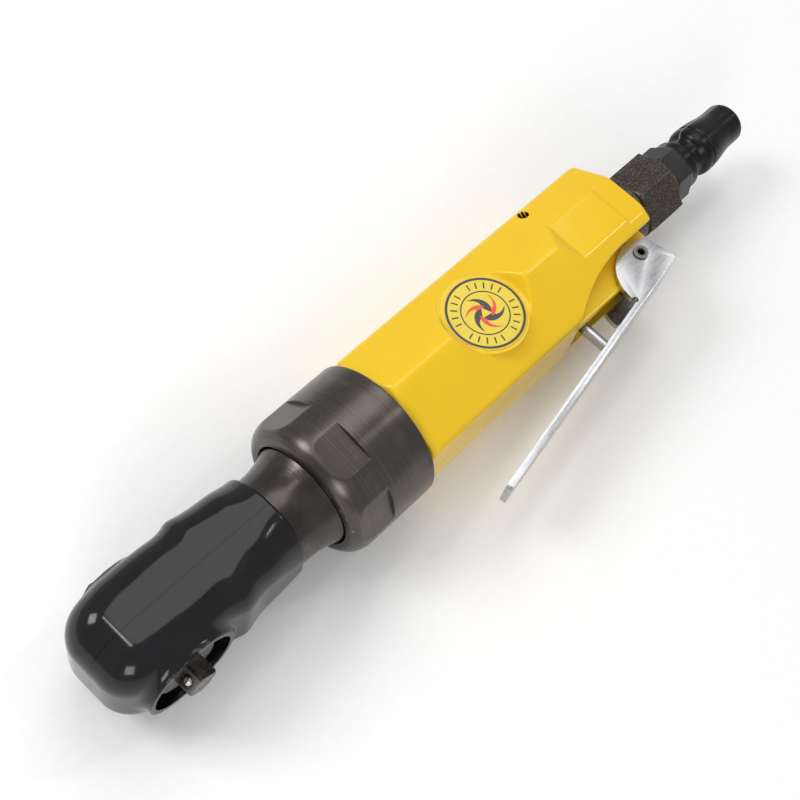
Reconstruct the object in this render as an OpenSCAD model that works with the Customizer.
// Compact quarter-inch-drive air ratchet, lying on its side.
// X runs along the tool from the head to the air inlet, Y is the drive axis
// (the square drive and the throttle lever point to -Y, the reversing knob to
// +Y), and Z is up through the badge. The origin is where the drive axis
// crosses the tool axis. All sizes are in millimetres.

/* [Head] */
// Across flats of the square drive
drive_af = 6.35; // [6.2:0.05:6.5]
// Tool axis to the end of the square drive
drive_reach = 17.6; // [17:0.2:18.5]
// Turn of the square about the drive axis at rest, degrees
drive_turn = 10; // [0:5:45]
// Radius of the metal head about the drive axis
head_r = 14.2; // [14:0.1:14.6]
// Tool axis to the metal head's face on the knob side
head_half = 11.6; // [11.5:0.1:12]
// Radius of the neck behind the head
neck_r = 12.45; // [12.2:0.05:12.8]
// Drive axis to the rear edge of the rubber boot
boot_end = 36.4; // [35:0.5:38]
// Drive axis to the tip of the boot
boot_tip = 17.8; // [17.4:0.1:18.4]
// Outer radius of the reversing knob
knob_r = 6; // [5.6:0.1:6.4]

/* [Clamp nut] */
// Drive axis to the front face of the nut
nut_front = 47.8; // [47.4:0.1:48.2]
// Drive axis to the rear face of the nut
nut_back = 74.6; // [74.2:0.1:75]
// Outer radius of the nut
nut_r = 19.7; // [19.4:0.1:20.2]
// Across flats of the six spanner flats on the nut
nut_af = 37.5; // [36.8:0.1:37.8]
// Length of the spanner flats
nut_flat_len = 12; // [11:0.2:14]

/* [Motor housing] */
// Across flats of the hexagonal housing
body_af = 34.2; // [34:0.1:34.8]
// Drive axis to the rear end of the housing
body_back = 169.4; // [169:0.2:171]
// Distance from the axis to the flat badge pad
pad_z = 15.2; // [15:0.1:15.6]
// Drive axis to the centre of the badge pad
pad_x = 111.3; // [108:0.5:114]
// Radius of the badge pad
pad_r = 11.7; // [11:0.1:12.4]
// Radius of the motor bore
motor_bore_r = 13.9; // [13.8:0.05:14]

/* [Throttle] */
// Drive axis to the lever pivot
pivot_x = 162.4; // [162:0.1:163]
// Tool axis to the lever pivot
pivot_y = 13.8; // [13.6:0.1:14]
// Slope of the lever away from the body at rest, degrees
lever_slope = 9.4; // [9:0.1:9.8]
// Thickness of the lever sheet
lever_t = 1.7; // [1.5:0.1:1.8]
// Half width of the lever across its ears
lever_half = 8; // [7.9:0.1:8.2]
// Pivot to the tip of the lever
lever_len = 80; // [70:1:82]
// Drive axis to the valve stem
stem_x = 137.4; // [137:0.1:138]
// Radius of the valve stem
stem_r = 1.6; // [1.5:0.05:1.65]

/* [Air inlet] */
// Across flats of the inlet bushing
inlet_af = 19; // [18.5:0.5:19.5]
// Across flats of the plug
plug_af = 15; // [14:0.5:15.5]
// Drive axis to the tip of the plug
plug_tip = 225.8; // [224:0.2:228]

/* [Gears] */
// Gear module
gear_m = 0.55; // [0.53:0.01:0.55]
// Teeth on the rotor pinion
sun_teeth = 12; // [12:3:12]
// Teeth on each planet gear
planet_teeth = 15; // [15:3:15]
// Offset of the crank pin
crank_throw = 1.6; // [1.4:0.1:1.6]

/* [Hidden] */
$fn = 72;
eps = 0.01;
fit = 0.05;          // radial clearance of every running fit
far = 60;            // longer than any cut needs to be

// Head
chamber_r = 12.2;    // round chamber that holds the yoke
chamber_top = 6.4;
head_face = 10.4;    // tool axis to the metal head's face on the drive side
fork_x = 24.4;       // end of the yoke's fork
yoke_half = 5.6;
yoke_r = 11.8;
ratchet_teeth = 24;
tooth_tip_r = 8.5;
tooth_root_r = 9.5;
anvil_r = 8;
drive_top = -12.4;   // where the square meets the anvil's round foot
drive_corner = 0.5;
ball_r = 1.25;
ball_y = -15.1;
ball_out = 0.7;      // how far the ball stands out of the square
ball_deep = 1.8;     // how far its hole runs past the drive axis
pawl_x = -5.2;
pawl_half = 3;
pawl_pin_r = 1.1;
pawl_tip_r = 8.96;   // drive axis to the tip of the engaged tooth
pawl_swing = 8.2;    // pawl turns this far each side of its middle
knob_turn = 60;      // knob travel that swings the pawl across
boot_corner = 10.3;  // corner radius of the boot's tip
knob_stem_r = 2.4;

// Crank and gears
journal_r = 6;
crank_front = 27;
crank_back = 56.6;
bushing_r = 8.5;
carrier_x0 = 56.9;
carrier_x1 = 60.9;
carrier_r = 10.6;
flare_x = 38.8;      // the neck starts to flare towards the nut
ring_teeth = sun_teeth + 2 * planet_teeth;
gear_centre = gear_m * (sun_teeth + planet_teeth) / 2;
planet_pin_r = 1.5;
gear_x0 = 62;
gear_x1 = 70;
ring_x0 = 61.1;
ring_x1 = 71.9;
crank_pin_r = 1.6;
crank_roller_r = 2.8;

// Motor
plate_front = 72;
cylinder_x0 = 78;
cylinder_x1 = 114;
plate_back = 120;
rotor_r = 9.4;
cylinder_r = 11.2;
cylinder_offset = 1.5;
rotor_journal_r = 3.9;
bearing_r = 6.5;
vane_t = 1.6;
nose_x = 58;         // front face of the housing's threaded nose
nose_r = 16.6;

// Housing and throttle
vertex_r = 19.5;     // radius that rounds the hexagon's edges
ridge_x = 143.5;     // foot of the ramp down to the flat on the rear ridge
scoop_x = 156.6;     // straight part of the ear pockets starts here
scoop_y = 8.6;
scoop_r = 39.7;
web_half = 6.1;      // half thickness of the web between the lever's ears
valve_x = 148;       // sealing face of the valve seat
valve_r = 4.5;
valve_room_r = 6.2;
inlet_bore_x = 153;
inlet_thread_r = 8.2;
hex_x0 = 175.3;
hex_x1 = 190.2;
hex_turn = 15;
nut_turn = 9.5;
plug_hex_x0 = 191.1;
plug_hex_x1 = 198.6;
stem_end = 24.35;    // tool axis to the stem's outer end
stem_inner = 1.35;   // tool axis to the stem's domed inner end
tail_r = 1.2;
plug_nose_r = 6.2;   // straight end of the plug, inside the coupler's seal

black = [0.10, 0.10, 0.11];
steel = [0.62, 0.63, 0.65];
bronze = [0.70, 0.52, 0.28];

// ---- shared shapes ----

module xrod(x0, x1, r) {
    translate([x0, 0, 0]) rotate([0, 90, 0]) cylinder(h = x1 - x0, r = r);
}

module xcone(x0, x1, r0, r1) {
    translate([x0, 0, 0]) rotate([0, 90, 0]) cylinder(h = x1 - x0, r1 = r0, r2 = r1);
}

module yrod(y0, y1, r) {
    translate([0, y0, 0]) rotate([-90, 0, 0]) cylinder(h = y1 - y0, r = r);
}

module xtube(x0, x1, outer, inner) {
    difference() {
        xrod(x0, x1, outer);
        xrod(x0 - 1, x1 + 1, inner);
    }
}

// Regular prism along X; turn is measured from +Z towards the lever.
module xhex(x0, x1, af, turn) {
    translate([x0, 0, 0]) rotate([turn, 0, 0]) rotate([0, 90, 0])
        linear_extrude(x1 - x0) circle(r = af / sqrt(3), $fn = 6);
}

module block(x0, x1, y0, y1, z0, z1) {
    translate([x0, y0, z0]) cube([x1 - x0, y1 - y0, z1 - z0]);
}

// Turned shape about X from a list of [x, r] points.
module turned(points) {
    rotate([0, 90, 0]) rotate_extrude()
        polygon([for (p = points) [p[1], p[0]]]);
}

// Points of one involute flank, as [radius, angle] pairs.
function involute(base, r) =
    let (a = acos(min(1, base / r))) (tan(a) - a * PI / 180) * 180 / PI;

// Gear outline: add is the tooth tip's and ded the root's height in modules,
// slack is taken off each flank.
function gear_points(teeth, add, ded, slack) =
    let (rp = gear_m * teeth / 2, base = rp * cos(25),
         root = rp - ded * gear_m, tip = rp + add * gear_m,
         half = 90 / teeth - slack / rp * 180 / PI,
         start = max(base, root), steps = 4,
         radii = [for (i = [0 : steps]) start + (tip - start) * i / steps],
         spread = [for (r = radii) half + involute(base, rp) - involute(base, r)])
    [for (t = [0 : teeth - 1]) let (mid = 360 / teeth * t)
        each concat(
            [[root, mid - spread[0]]],
            [for (i = [0 : steps]) [radii[i], mid - spread[i]]],
            [for (i = [steps : -1 : 0]) [radii[i], mid + spread[i]]],
            [[root, mid + spread[0]]])];

// Gear along X with its first tooth at the angle phase from +Z.
module gear(x0, x1, teeth, add, ded, slack, phase) {
    translate([x0, 0, 0]) rotate([phase, 0, 0]) rotate([0, 90, 0])
        linear_extrude(x1 - x0) polygon([
            for (p = gear_points(teeth, add, ded, slack))
                p[0] * [-cos(p[1]), sin(p[1])]]);
}

// Helical spring from the origin along Z, as one swept tube.
module coil(height, radius, wire, turns) {
    sides = 8;
    per_turn = 16;
    rings = turns * per_turn;
    pts = [for (i = [0 : rings]) let (a = 360 * i / per_turn)
        for (k = [0 : sides - 1]) let (b = 360 * k / sides)
            [(radius + wire * cos(b)) * cos(a), (radius + wire * cos(b)) * sin(a),
             wire + (height - 2 * wire) * i / rings + wire * sin(b)]];
    walls = [for (i = [0 : rings - 1], k = [0 : sides - 1])
        let (n = (k + 1) % sides)
            [i * sides + k, (i + 1) * sides + k, (i + 1) * sides + n, i * sides + n]];
    polyhedron(pts, concat(walls,
        [[for (k = [0 : sides - 1]) k]],
        [[for (k = [sides - 1 : -1 : 0]) rings * sides + k]]), convexity = 8);
}

// ---- fixed pieces ----

// Outside of the metal head and neck, grown by gap.
module housing_skin(gap) {
    rotate([-90, 0, 0]) rotate_extrude() polygon([
        [0, -head_face - gap], [13 + gap, -head_face - gap], [head_r + gap, -8.6 - gap],
        [head_r + gap, 8.8 + gap], [12.6 + gap, head_half + gap], [0, head_half + gap]]);
    intersection() {
        block(0, 30 + gap, -head_face - gap, head_half + gap, -13 - gap, 13 + gap);
        xrod(-1, 31, 15.6 + gap);
    }
    xcone(24 - gap, 27.5, 8, neck_r + gap);
    xrod(27.5 - eps, 49, neck_r + gap);
}

module ratchet_housing() {
    color([0.16, 0.14, 0.14]) difference() {
        union() {
            housing_skin(0);
            // neck flares out inside the nut
            turned([[flare_x - 1, 0], for (i = [0 : 10]) let (t = i / 10)
                [flare_x + t * (nut_front - flare_x), neck_r + (14.3 - neck_r) * t * t],
                [51.9, 14.3], [51.9, 16.2], [nose_x, 16.2], [nose_x, motor_bore_r - fit],
                [ring_x0, motor_bore_r - fit], [ring_x0, 0]]);
        }
        yrod(-far, chamber_top, chamber_r);
        yrod(0, far, knob_stem_r + 2.8 + fit);
        block(0, fork_x + 1, -yoke_half - 0.5, yoke_half + 0.5, -10.8, 10.8);
        xrod(10, crank_back, bushing_r);
        xrod(crank_back - 0.1, far + 2, carrier_r + 0.8);
        translate([0, -9.4, 0]) yrod(0, 1, chamber_r + 0.7);
    }
}

// One slice of the boot: a rounded block around the tool axis.
module boot_slice(x, half_y, half_z, len = 0.1) {
    corner = 8.5;
    for (y = [-1, 1], z = [-1, 1])
        translate([x, y * (half_y - corner), z * (half_z - corner)])
            rotate([0, 90, 0]) cylinder(h = len, r = corner, $fn = 32);
}

module protective_boot() {
    color([0.07, 0.07, 0.08]) difference() {
        union() {
            hull() {
                for (y = [-1, 1], z = [-1, 1])
                    translate([boot_corner - boot_tip, y * 7.2, z * (15.9 - boot_corner)])
                        boot_disc();
                boot_slice(8, 13.7, 15.9);
            }
            hull() {
                boot_slice(8, 13.7, 15.9);
                boot_slice(14, 13.9, 15.6);
            }
            hull() {
                boot_slice(14, 13.9, 15.6);
                boot_slice(17, 14.7, 15.9);
                boot_slice(18.4, 14.6, 15.9);
            }
            hull() {
                boot_slice(18.4, 14.6, 15.9);
                boot_slice(23, 13.7, 15.2);
            }
            hull() {
                boot_slice(23, 13.7, 15.2);
                boot_slice(33, 13.5, 14.9);
                boot_slice(boot_end - 0.9, 13.3, 14.6, 0.1);
                boot_slice(boot_end - 0.1, 12.9, 14.1, 0.1);
            }
            // raised rims round the drive and round the knob
            yrod(-14.3, -10, 12.6);
            yrod(10, 14.5, 11.4);
        }
        housing_skin(0.06);
        yrod(-far, 0, 11.2);
        yrod(0, far, knob_r + 0.7);
        xrod(27.5, far, neck_r + 0.06);
    }
}

// Rounded disc that forms one corner of the boot's tip.
module boot_disc() {
    round = 6.4;
    rotate([90, 0, 0]) rotate_extrude($fn = 32) intersection() {
        translate([boot_corner - round, 0]) circle(r = round, $fn = 24);
        translate([0, -round]) square([boot_corner, 2 * round]);
    }
}

module thrust_plate() {
    color(steel) difference() {
        yrod(-8.2, -6.2, chamber_r - fit);
        yrod(-far, far, anvil_r - 0.1);
    }
}

module retaining_ring() {
    color(steel) difference() {
        yrod(-9.35, -8.45, chamber_r + 0.5);
        yrod(-far, far, 10.4);
        block(-far, -9, -far, far, -1.6, 1.6);
    }
}

module crank_bushing() {
    color(bronze) xtube(crank_front + 2, crank_back - 0.4, bushing_r, journal_r + fit);
}

module clamp_nut() {
    color(black) difference() {
        turned([[nut_front, 14.75], [nut_front, nut_r - 3.2],
            [nut_front + 0.4, nut_r - 2.3], [nut_front + 1.5, nut_r - 1.1],
            [nut_front + 2.9, nut_r - 0.35], [nut_front + 4.6, nut_r],
            [nut_back - 0.5, nut_r], [nut_back, nut_r - 0.5],
            [nut_back, nose_r + fit], [nose_x, nose_r + fit], [nose_x, 16.4],
            [51.8, 16.4], [51.8, 14.75]]);
        for (k = [0 : 5]) rotate([nut_turn + 60 * k, 0, 0])
            block(nut_front - 1, nut_front + nut_flat_len, -far, far, nut_af / 2, far);
    }
}

// Ear pocket on the +Z side: its long wall leans outwards.
module ear_pocket() {
    lean = 14.7;
    intersection() {
        block(100, body_back + 1, -far, 0, web_half, far);
        translate([0, -scoop_y, 8]) rotate([lean, 0, 0]) union() {
            translate([scoop_x, -scoop_r, -20]) cylinder(h = far, r = scoop_r);
            block(scoop_x, body_back + 5, -far, 0, -20, far);
        }
    }
}

module motor_housing() {
    apothem = body_af / 2;
    color([0.95, 0.79, 0.14]) difference() {
        union() {
            intersection() {
                xhex(nut_back, body_back, body_af, 0);
                turned([[nut_back, 0], [nut_back, 17.4], [nut_back + 2, vertex_r],
                    [body_back - 1.5, vertex_r], [body_back, 18.2], [body_back, 0]]);
                // the ridge is cut flat at the badge and at the rear
                difference() {
                    block(0, 200, -far, far, -far, far);
                    translate([pad_x, 0, pad_z]) cylinder(h = far, r = pad_r);
                    translate([0, far, 0]) rotate([90, 0, 0]) linear_extrude(2 * far)
                        polygon([[ridge_x, 16], [162, 16], [162, 40], [ridge_x - 36, 40]]);
                    block(162 - eps, 200, -far, far, 15.4, far);
                }
            }
            translate([pad_x, 0, 8]) cylinder(h = pad_z - 8, r = pad_r);
            xrod(nose_x, nut_back + 1, nose_r);
        }
        xrod(0, plate_back + 1, motor_bore_r);
        xrod(100, 130, 4);
        xrod(128, valve_x + eps, valve_room_r);
        xrod(valve_x, body_back + 1, inlet_thread_r - 1.6);
        xrod(inlet_bore_x, body_back + 1, inlet_thread_r);
        for (side = [0, 1]) mirror([0, 0, side]) ear_pocket();
        // trough under the lever, stem bore and pivot hole
        block(133, 156, -far, -14.6, -3.6, 3.6);
        translate([stem_x, 0, 0]) yrod(-far, 0, 3.4);
        translate([pivot_x, -pivot_y, -far]) cylinder(h = 2 * far, r = 1.8);
        // small oil hole on the far upper face
        translate([144.6, 0, 0]) rotate([-30, 0, 0]) translate([0, 7, 13])
            cylinder(h = far, r = 1.4);
        // end of the web is rounded off behind the ears
        difference() {
            block(pivot_x, body_back + 1, -far, -pivot_y, -far, far);
            translate([pivot_x, -pivot_y + 3.6, -far]) cylinder(h = 2 * far, r = 7.3);
        }
    }
}

module badge_plate() {
    color([0.93, 0.83, 0.16]) translate([pad_x, 0, pad_z])
        cylinder(h = 0.35, r = pad_r - 0.9);
}

module ring_gear() {
    color(steel) difference() {
        xrod(ring_x0, ring_x1, motor_bore_r - fit);
        gear(ring_x0 - 1, ring_x1 + 1, ring_teeth, 1.15, 0.8, -0.05, 0);
    }
}

// Plate that closes one end of the motor and holds a bearing.
module end_plate(x0, x1, pocket0, pocket1) {
    color([0.42, 0.42, 0.44]) difference() {
        xrod(x0, x1, motor_bore_r - fit);
        xrod(x0 - 1, x1 + 1, rotor_journal_r + 0.4);
        xrod(pocket0, pocket1, bearing_r);
    }
}

module front_end_plate() {
    end_plate(plate_front, cylinder_x0, plate_front - 1, plate_front + 4);
}

module rear_end_plate() {
    end_plate(cylinder_x1, plate_back, plate_back - 4, plate_back + 1);
}

module front_bearing() {
    color(steel) xtube(plate_front, plate_front + 4, bearing_r, rotor_journal_r + fit);
}

module rear_bearing() {
    color(steel) xtube(plate_back - 4, plate_back, bearing_r, rotor_journal_r + fit);
}

module motor_cylinder() {
    color([0.5, 0.5, 0.52]) difference() {
        xrod(cylinder_x0, cylinder_x1, motor_bore_r - fit);
        translate([0, 0, cylinder_offset]) xrod(0, far * 3, cylinder_r);
        for (x = [86, 91, 96, 101, 106])
            translate([x, 0, 0]) rotate([60, 0, 0]) translate([0, 0, -far])
                cylinder(h = far, r = 1.2);
    }
}

module motor_gasket() {
    color([0.2, 0.2, 0.2]) xtube(plate_back, plate_back + 1, motor_bore_r - fit, 6);
}

module stem_bushing() {
    color(bronze) translate([stem_x, 0, 0]) difference() {
        yrod(-14.5, -valve_room_r - 0.4, 3.4);
        yrod(-far, far, stem_r + fit);
        yrod(-11.2, -9.6, stem_r + 0.9);
    }
}

module valve_seat() {
    color(bronze) xtube(valve_x - 3, valve_x, valve_room_r, 3);
}

module inlet_gasket() {
    color([0.15, 0.15, 0.16]) xtube(body_back, body_back + 0.8, 9.6, inlet_thread_r);
}

module inlet_bushing() {
    color([0.12, 0.10, 0.10]) difference() {
        union() {
            xrod(inlet_bore_x + 0.4, body_back + 2, inlet_thread_r);
            xrod(body_back + 0.8, hex_x0 + 0.5, 9.5);
            intersection() {
                xhex(hex_x0, hex_x1, inlet_af, hex_turn);
                turned([[hex_x0, 0], [hex_x0, 10], [hex_x0 + 1, 11.2],
                    [hex_x1 - 1.4, 11.2], [hex_x1, 9.4], [hex_x1, 0]]);
            }
        }
        xrod(100, 250, 4.6);
        xrod(100, inlet_bore_x + 8, 5.8);
        xrod(hex_x0 + 2, 250, 6.6);
    }
}

module inlet_screen() {
    color([0.78, 0.62, 0.30]) difference() {
        xrod(inlet_bore_x + 5, inlet_bore_x + 8, 5.8);
        xrod(0, inlet_bore_x + 7.2, 5);
        for (ring = [1, 2]) for (k = [0 : 6 * ring - 1])
            rotate([k * 60 / ring, 0, 0]) translate([0, 0, 1.7 * ring])
                xrod(100, 200, 0.5);
    }
}

module air_plug() {
    color([0.17, 0.16, 0.17]) difference() {
        union() {
            xrod(hex_x0 + 2.4, plug_hex_x0 + 1, 6.6);
            xrod(hex_x1 + 0.1, plug_hex_x0 + 0.5, 7.2);
            intersection() {
                xhex(plug_hex_x0, plug_hex_x1, plug_af, -13);
                turned([[plug_hex_x0, 0], [plug_hex_x0, 8], [plug_hex_x0 + 0.8, 9],
                    [plug_hex_x1 - 1, 9], [plug_hex_x1, 7.6], [plug_hex_x1, 0]]);
            }
            turned([[plug_hex_x1 - 1, 0], [plug_hex_x1 - 1, 7.3], [201, 7.5],
                [202.2, 6.9], [203, 5.7], [205.6, 5.7], [206.4, 6.9],
                [207.4, 7.4], [209, 7.5], [209.3, 7.2], [209.8, 7.2],
                [210.1, 7.45], [212.5, 7.3], [215, 6.9], [217.5, 6.45],
                [219.5, plug_nose_r], [plug_tip - 1, plug_nose_r],
                [plug_tip, plug_nose_r - 0.8], [plug_tip, 0]]);
        }
        xrod(100, 250, 3.75);
        xcone(plug_tip - 1, plug_tip + 0.01, 3.75, 4.6);
    }
}

module lever_pin() {
    color([0.08, 0.08, 0.09]) translate([pivot_x, -pivot_y, 0]) difference() {
        union() {
            translate([0, 0, -lever_half - 0.5]) cylinder(h = 2 * lever_half + 1, r = 1.8);
            translate([0, 0, lever_half + 0.05]) cylinder(h = 0.5, r = 2.1);
            translate([0, 0, -lever_half - 0.55]) cylinder(h = 0.5, r = 2.1);
        }
        for (side = [0, 1]) mirror([0, 0, side])
            translate([0, 0, lever_half - 1.6]) cylinder(h = 3, r = 1.05);
    }
}

// ---- ratchet ----

module yoke() {
    tooth = [[tooth_tip_r - 1, 0.95], [tooth_tip_r, 0.85], [tooth_root_r, 0.4]];
    color([0.35, 0.35, 0.37]) difference() {
        union() {
            yrod(-yoke_half, yoke_half, yoke_r);
            block(0, fork_x, -yoke_half, yoke_half, -8.3, 8.3);
        }
        yrod(-far, far, tooth_tip_r);
        for (k = [0 : ratchet_teeth - 1]) rotate([0, k * 360 / ratchet_teeth, 0])
            translate([0, far, 0]) rotate([90, 0, 0]) linear_extrude(2 * far)
                polygon(concat([for (p = tooth) p],
                    [for (i = [2 : -1 : 0]) [tooth[i][0], -tooth[i][1]]]));
        // fork slot, wide enough for the crank at any angle
        block(13.4, far, -far, far, -6.3, 6.3);
    }
}

module anvil() {
    color([0.14, 0.14, 0.15]) difference() {
        union() {
            yrod(drive_top, 6, anvil_r - 0.15);
            yrod(6 - eps, head_half + 0.1, knob_stem_r + 2.8);
            rotate([0, -drive_turn, 0]) intersection() {
                translate([0, (drive_top - drive_reach) / 2, 0])
                    rotate([0, 45, 0])
                        cube([drive_af, drive_reach + drive_top + eps, drive_af], center = true);
                yrod(-drive_reach, drive_top + 1, drive_af / sqrt(2) - drive_corner);
                translate([0, -drive_reach, 0]) rotate([-90, 0, 0])
                    cylinder(h = far, r1 = 3.6, r2 = 3.6 + far);
            }
        }
        // pawl pocket
        difference() {
            yrod(-pawl_half - 0.1, pawl_half + 0.1, anvil_r + 1);
            block(1, far, -far, far, -far, far);
        }
        yrod(-2.6, far, knob_stem_r + fit);
        translate([pawl_x, 0, 0]) yrod(-5, 5, pawl_pin_r);
        detent_frame() translate([0, 0, -ball_deep]) cylinder(h = 8, r = ball_r + fit);
    }
}

// Puts +Z on the normal of the square's face that carries the ball, with the
// origin on the drive axis.
module detent_frame() {
    translate([0, ball_y, 0]) rotate([0, -drive_turn - 135, 0])
        rotate([0, 90, 0]) children();
}

module detent_ball() {
    color(steel) detent_frame()
        translate([0, 0, drive_af / 2 + ball_out - ball_r]) sphere(r = ball_r, $fn = 40);
}

module detent_spring() {
    color(steel) detent_frame() translate([0, 0, -ball_deep])
        coil(drive_af / 2 + ball_out - 2 * ball_r + ball_deep, 0.8, 0.15, 5);
}

module pawl_pin() {
    color(steel) translate([pawl_x, 0, 0]) yrod(-5, 5, pawl_pin_r);
}

// Turns the children about the pawl's pin.
module on_pawl_pin(turn) {
    translate([pawl_x, 0, 0]) rotate([0, turn, 0]) translate([-pawl_x, 0, 0]) children();
}

// Rocking pawl with a tooth at each end, drawn with one end engaged. Each tooth
// is laid out where it engages and swung back to the pawl's middle.
module pawl() {
    color(steel) on_pawl_pin(pawl_swing) difference() {
        union() {
            intersection() {
                yrod(-pawl_half, pawl_half, 7.3);
                block(-far, -3.1, -far, far, -far, far);
            }
            for (side = [0, 1]) mirror([0, 0, side]) on_pawl_pin(-pawl_swing)
                rotate([0, -225, 0]) translate([0, pawl_half, 0]) rotate([90, 0, 0])
                    linear_extrude(2 * pawl_half)
                        polygon([[6.7, -0.9], [8.4, -0.55], [pawl_tip_r, -0.22],
                            [pawl_tip_r, 0.22], [8.4, 0.55], [6.7, 0.9]]);
        }
        yrod(-far, far, 4.1);
        translate([pawl_x, 0, 0]) yrod(-far, far, pawl_pin_r + fit);
    }
}

// Turns the knob's plunger to the engaged side of the pawl.
module plunger_frame() {
    rotate([0, -180 - knob_turn / 2, 0]) rotate([0, 90, 0]) children();
}

module reversing_knob() {
    color([0.15, 0.15, 0.16]) difference() {
        union() {
            yrod(-2.5, head_half + 0.5, knob_stem_r);
            difference() {
                yrod(head_half + 0.4, 14.4, knob_r);
                for (k = [0 : 11]) rotate([0, 30 * k, 0])
                    translate([knob_r + 0.25, 0, 0]) yrod(0, far, 0.7);
            }
            rotate([0, 30, 0]) intersection() {
                yrod(14, 16, knob_r - 0.5);
                block(-far, far, 0, far, -1.9, 1.9);
            }
        }
        plunger_frame() translate([0, 0, -1.2]) cylinder(h = far, r = 0.9 + fit);
    }
}

module pawl_plunger() {
    color(steel) plunger_frame() {
        translate([0, 0, 0.9]) cylinder(h = 1.9, r = 0.9);
        translate([0, 0, 2.8]) sphere(r = 0.9, $fn = 32);
    }
}

module pawl_spring() {
    color(steel) plunger_frame() translate([0, 0, -1.2]) coil(2.1, 0.6, 0.12, 4);
}

// ---- crank and reduction gears ----

module crankshaft() {
    color(steel) difference() {
        union() {
            xrod(crank_front, crank_back, journal_r);
            xrod(crank_back - eps, carrier_x0 + eps, journal_r + 1);
            xrod(carrier_x0, carrier_x1, carrier_r);
            translate([0, 0, crank_throw]) xrod(18.8, crank_front + 1, crank_pin_r);
        }
        for (k = [0 : 2]) rotate([120 * k, 0, 0]) translate([0, 0, gear_centre])
            xrod(carrier_x0 + 0.8, far + 10, planet_pin_r);
        xrod(carrier_x1 - 1, far + 10, 4);
    }
}

module drive_bushing() {
    color(bronze) translate([0, 0, crank_throw])
        xtube(19, 24.8, crank_roller_r, crank_pin_r);
}

module planet_pins() {
    color(steel) for (k = [0 : 2]) rotate([120 * k, 0, 0])
        translate([0, 0, gear_centre]) xrod(carrier_x0 + 0.8, gear_x1 + 0.4, planet_pin_r);
}

module planet_gear(k) {
    color([0.55, 0.52, 0.46]) rotate([120 * k, 0, 0]) translate([0, 0, gear_centre])
        difference() {
            gear(gear_x0, gear_x1, planet_teeth, 0.8, 1.15, 0.05, 0);
            xrod(0, far * 2, planet_pin_r + fit);
        }
}

module planet_gear_1() { planet_gear(0); }
module planet_gear_2() { planet_gear(1); }
module planet_gear_3() { planet_gear(2); }

// ---- air motor ----

module vane_slots(extra) {
    for (k = [0 : 3]) rotate([45 + 90 * k, 0, 0])
        block(cylinder_x0 + 0.1 - extra, cylinder_x1 - 0.1 + extra,
            -vane_t / 2, vane_t / 2, 4.4, rotor_r + 0.2 + extra);
}

module rotor() {
    color([0.58, 0.58, 0.60]) {
        difference() {
            xrod(cylinder_x0 + 0.1, cylinder_x1 - 0.1, rotor_r);
            vane_slots(1);
        }
        xrod(ring_x1 - 0.4, cylinder_x0 + 0.2, rotor_journal_r);
        xrod(cylinder_x1 - 0.2, plate_back + 0.6, rotor_journal_r);
        gear(gear_x0 - 0.4, ring_x1, sun_teeth, 0.8, 1.15, 0.05, 0);
    }
}

module vanes() {
    color([0.36, 0.24, 0.14]) vane_slots(0);
}

// ---- throttle ----

// Axes of the lever: origin on the pivot, X along the plate towards the rear.
module lever_frame() {
    translate([pivot_x, -pivot_y, 0]) rotate([0, 0, lever_slope]) children();
}

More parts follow.
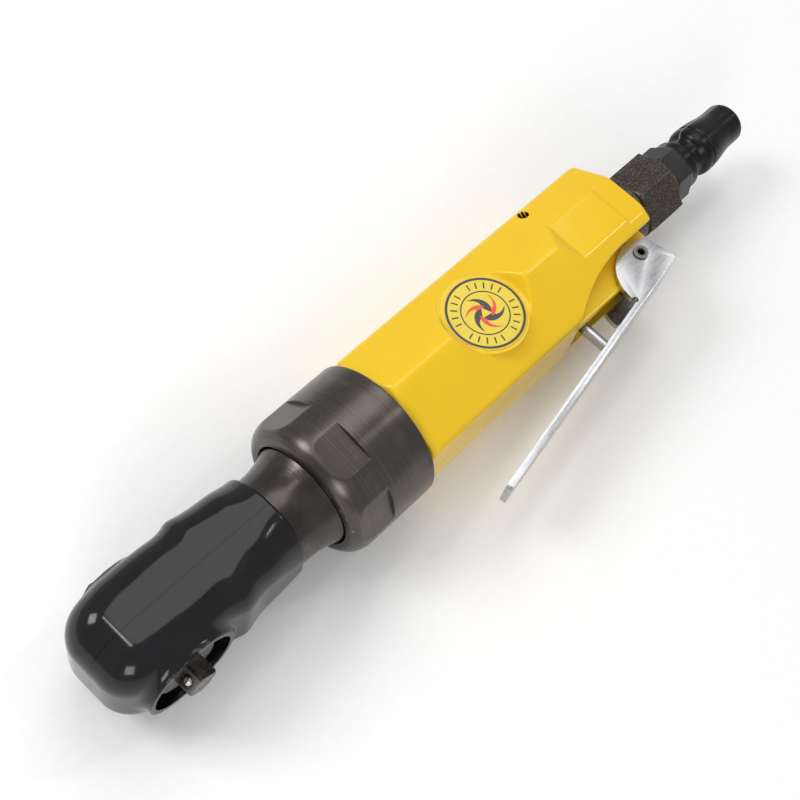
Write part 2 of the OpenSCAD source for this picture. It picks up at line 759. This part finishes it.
module throttle_lever() {
    plate_in = 6.7;
    plate_out = plate_in + lever_t;
    rear = 5.4;
    tip_half = 4.2;
    color([0.80, 0.81, 0.82]) lever_frame() {
        difference() {
            intersection() {
                block(-lever_len, rear, -plate_out, -plate_in, -far, far);
                // plate narrows towards its tip
                rotate([90, 0, 0]) linear_extrude(far)
                    polygon([[-lever_len, -tip_half], [-14, -lever_half],
                        [rear, -lever_half], [rear, lever_half],
                        [-14, lever_half], [-lever_len, tip_half]]);
            }
            translate([-lever_len + 7, 0, 0]) yrod(-far, far, 1.6);
        }
        for (side = [0, 1]) mirror([0, 0, side]) difference() {
            intersection() {
                translate([-2.7, -6.9, lever_half - lever_t])
                    cylinder(h = lever_t, r = 11.6);
                block(-far, rear, -plate_in - 0.1, far, -far, far);
            }
            cylinder(h = far, r = 1.8 + fit);
        }
    }
}

module valve_stem() {
    color([0.75, 0.76, 0.78]) translate([stem_x, 0, 0]) difference() {
        union() {
            yrod(-stem_end, -stem_inner - stem_r, stem_r);
            translate([0, -stem_inner - stem_r, 0]) sphere(r = stem_r, $fn = 48);
        }
        difference() {
            yrod(-16.4, -15.4, stem_r + 1);
            yrod(-17, -15, stem_r - 0.35);
        }
    }
}

module stem_o_ring() {
    color([0.12, 0.12, 0.12]) translate([stem_x, -10.4, 0]) rotate([90, 0, 0])
        rotate_extrude() translate([stem_r + 0.42 + fit, 0]) circle(r = 0.4, $fn = 24);
}

module throttle_valve() {
    color([0.70, 0.71, 0.73]) {
        xrod(valve_x + 0.02, valve_x + 2.2, valve_r);
        xrod(134.4, valve_x + 0.1, tail_r);
        translate([134.4, 0, 0]) sphere(r = tail_r, $fn = 32);
    }
}

module valve_spring() {
    color(steel) translate([valve_x + 2.25, 0, 0]) rotate([0, 90, 0])
        coil(7.6, 3.2, 0.35, 5);
}

motor_housing();
badge_plate();
clamp_nut();
ratchet_housing();
protective_boot();
thrust_plate();
retaining_ring();
crank_bushing();
ring_gear();
front_end_plate();
front_bearing();
motor_cylinder();
rear_end_plate();
rear_bearing();
motor_gasket();
stem_bushing();
valve_seat();
inlet_gasket();
inlet_bushing();
inlet_screen();
air_plug();
lever_pin();
yoke();
anvil();
pawl_pin();
pawl();
reversing_knob();
pawl_plunger();
pawl_spring();
detent_ball();
detent_spring();
crankshaft();
drive_bushing();
planet_pins();
planet_gear_1();
planet_gear_2();
planet_gear_3();
rotor();
vanes();
throttle_lever();
valve_stem();
stem_o_ring();
throttle_valve();
valve_spring();
